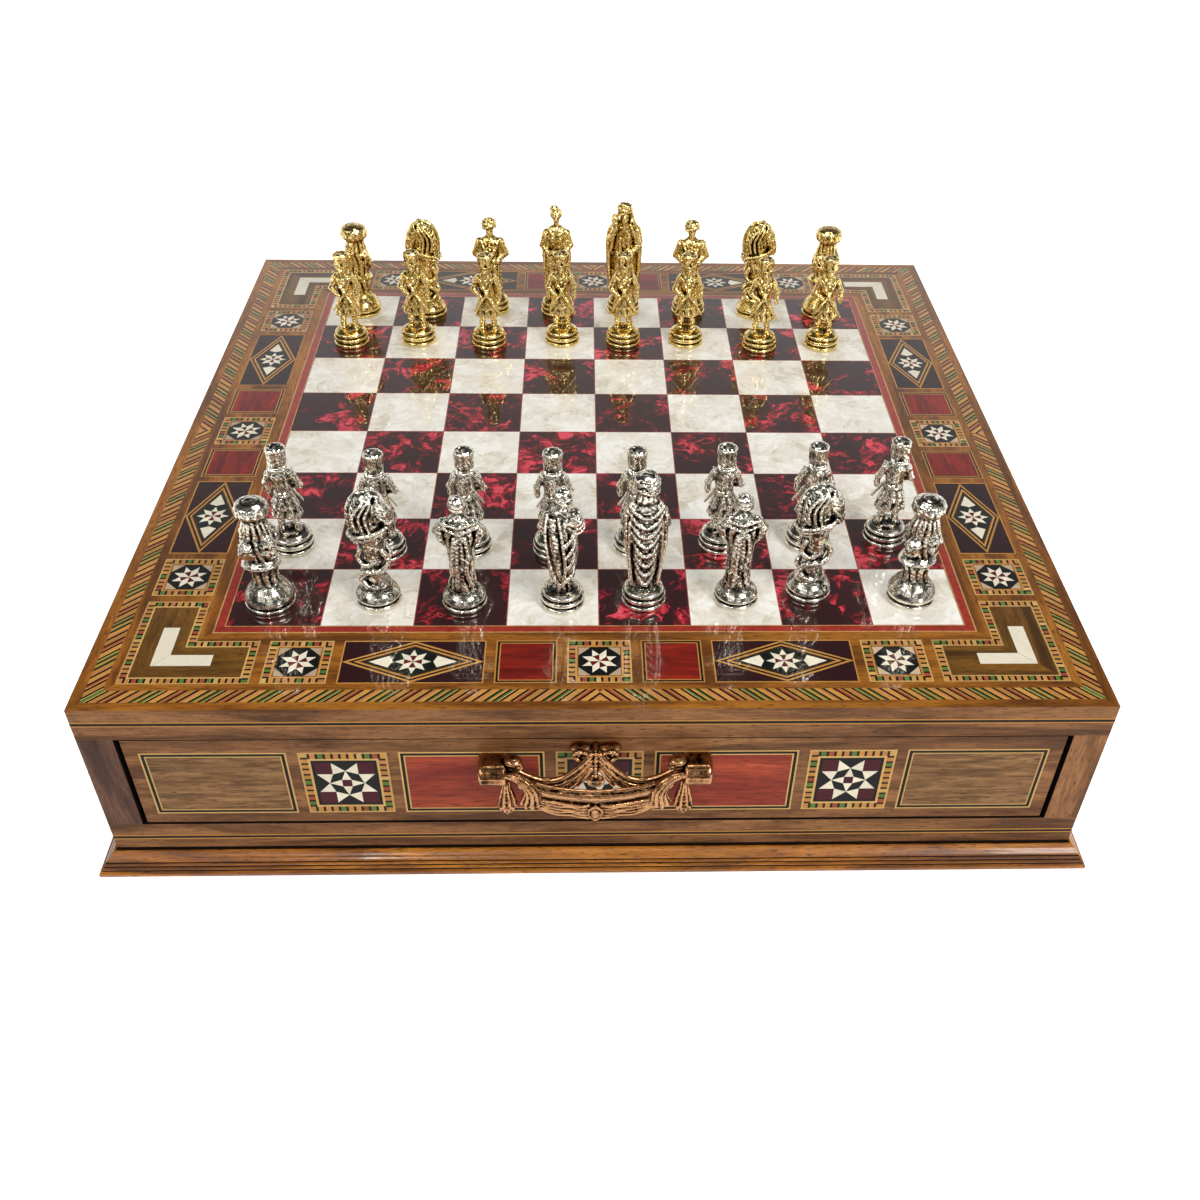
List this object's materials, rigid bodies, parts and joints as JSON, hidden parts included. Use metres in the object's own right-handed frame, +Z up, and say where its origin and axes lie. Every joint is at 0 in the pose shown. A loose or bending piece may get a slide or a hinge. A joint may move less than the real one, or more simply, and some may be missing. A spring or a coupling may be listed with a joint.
{
  "type": "chess box with drawers",
  "caption": "Marquetry chess board on a low wooden box with a divided drawer in the front and back faces, cast drop handles and a set of cast figure men.",
  "frame": {"origin": "on the floor under the middle of the box", "axes": "+Z up, the front drawer opens towards -Y, the back drawer towards +Y, +X to the right seen from the front"},
  "size_m": [0.436, 0.4564, 0.159],
  "materials": {
    "walnut": "satin lacquer",
    "golden_walnut": "high gloss lacquer",
    "padauk": "high gloss lacquer",
    "rosewood": "high gloss lacquer",
    "maple": "high gloss lacquer",
    "dyed_mosaic": "high gloss lacquer",
    "bone": "polished under lacquer",
    "pearl_white": "pearl flake, high gloss",
    "pearl_red": "pearl flake, high gloss",
    "plywood": "bare",
    "beech": "satin",
    "ebony_line": "satin lacquer",
    "velvet": "short pile",
    "antique_copper": "antique copper plate",
    "screw_steel": "zinc plated",
    "silver_cast": "polished with dark hollows",
    "gold_cast": "polished with dark hollows"
  },
  "bodies": {
    "root": {"board_core": "plywood", "border_front": "golden_walnut", "border_back": "golden_walnut", "border_left": "golden_walnut", "border_right": "golden_walnut", "white_squares": "pearl_white", "red_squares": "pearl_red", "field_band": "padauk", "maple_lines": "maple", "rope_banding": "dyed_mosaic", "corner_panels": "golden_walnut", "bone_corners": "bone", "star_tiles": "dyed_mosaic", "diamond_panels": "rosewood", "red_tiles": "padauk", "side_left": "walnut", "side_right": "walnut", "front_top_rail": "walnut", "front_bottom_rail": "walnut", "front_stiles": "walnut", "back_top_rail": "walnut", "back_bottom_rail": "walnut", "back_stiles": "walnut", "bottom_panel": "plywood", "centre_partition": "plywood", "drawer_runners": "beech", "kicker_strips": "beech", "base_moulding": "walnut", "body_stringing": "ebony_line", "silver_king": "silver_cast", "silver_queen": "silver_cast", "silver_bishops": "silver_cast", "silver_knights": "silver_cast", "silver_rooks": "silver_cast", "silver_pawns": "silver_cast", "gold_king": "gold_cast", "gold_queen": "gold_cast", "gold_bishops": "gold_cast", "gold_knights": "gold_cast", "gold_rooks": "gold_cast", "gold_pawns": "gold_cast"},
    "front_drawer": {"front_drawer_face": "walnut", "front_drawer_sides": "beech", "front_drawer_back": "beech", "front_drawer_bottom": "plywood", "front_drawer_lining": "velvet", "front_drawer_dividers": "beech", "front_drawer_inlays": "padauk", "front_drawer_handle": "antique_copper", "front_drawer_screws": "screw_steel"},
    "back_drawer": {"back_drawer_face": "walnut", "back_drawer_sides": "beech", "back_drawer_back": "beech", "back_drawer_bottom": "plywood", "back_drawer_lining": "velvet", "back_drawer_dividers": "beech", "back_drawer_inlays": "padauk", "back_drawer_handle": "antique_copper", "back_drawer_screws": "screw_steel"}
  },
  "joints": [
    {"name": "front_drawer_slide", "type": "slide", "parent": "root", "child": "front_drawer", "axis": [0, -1, 0], "range_m": [0, 0.15]},
    {"name": "back_drawer_slide", "type": "slide", "parent": "root", "child": "back_drawer", "axis": [0, 1, 0], "range_m": [0, 0.15]}
  ]
}
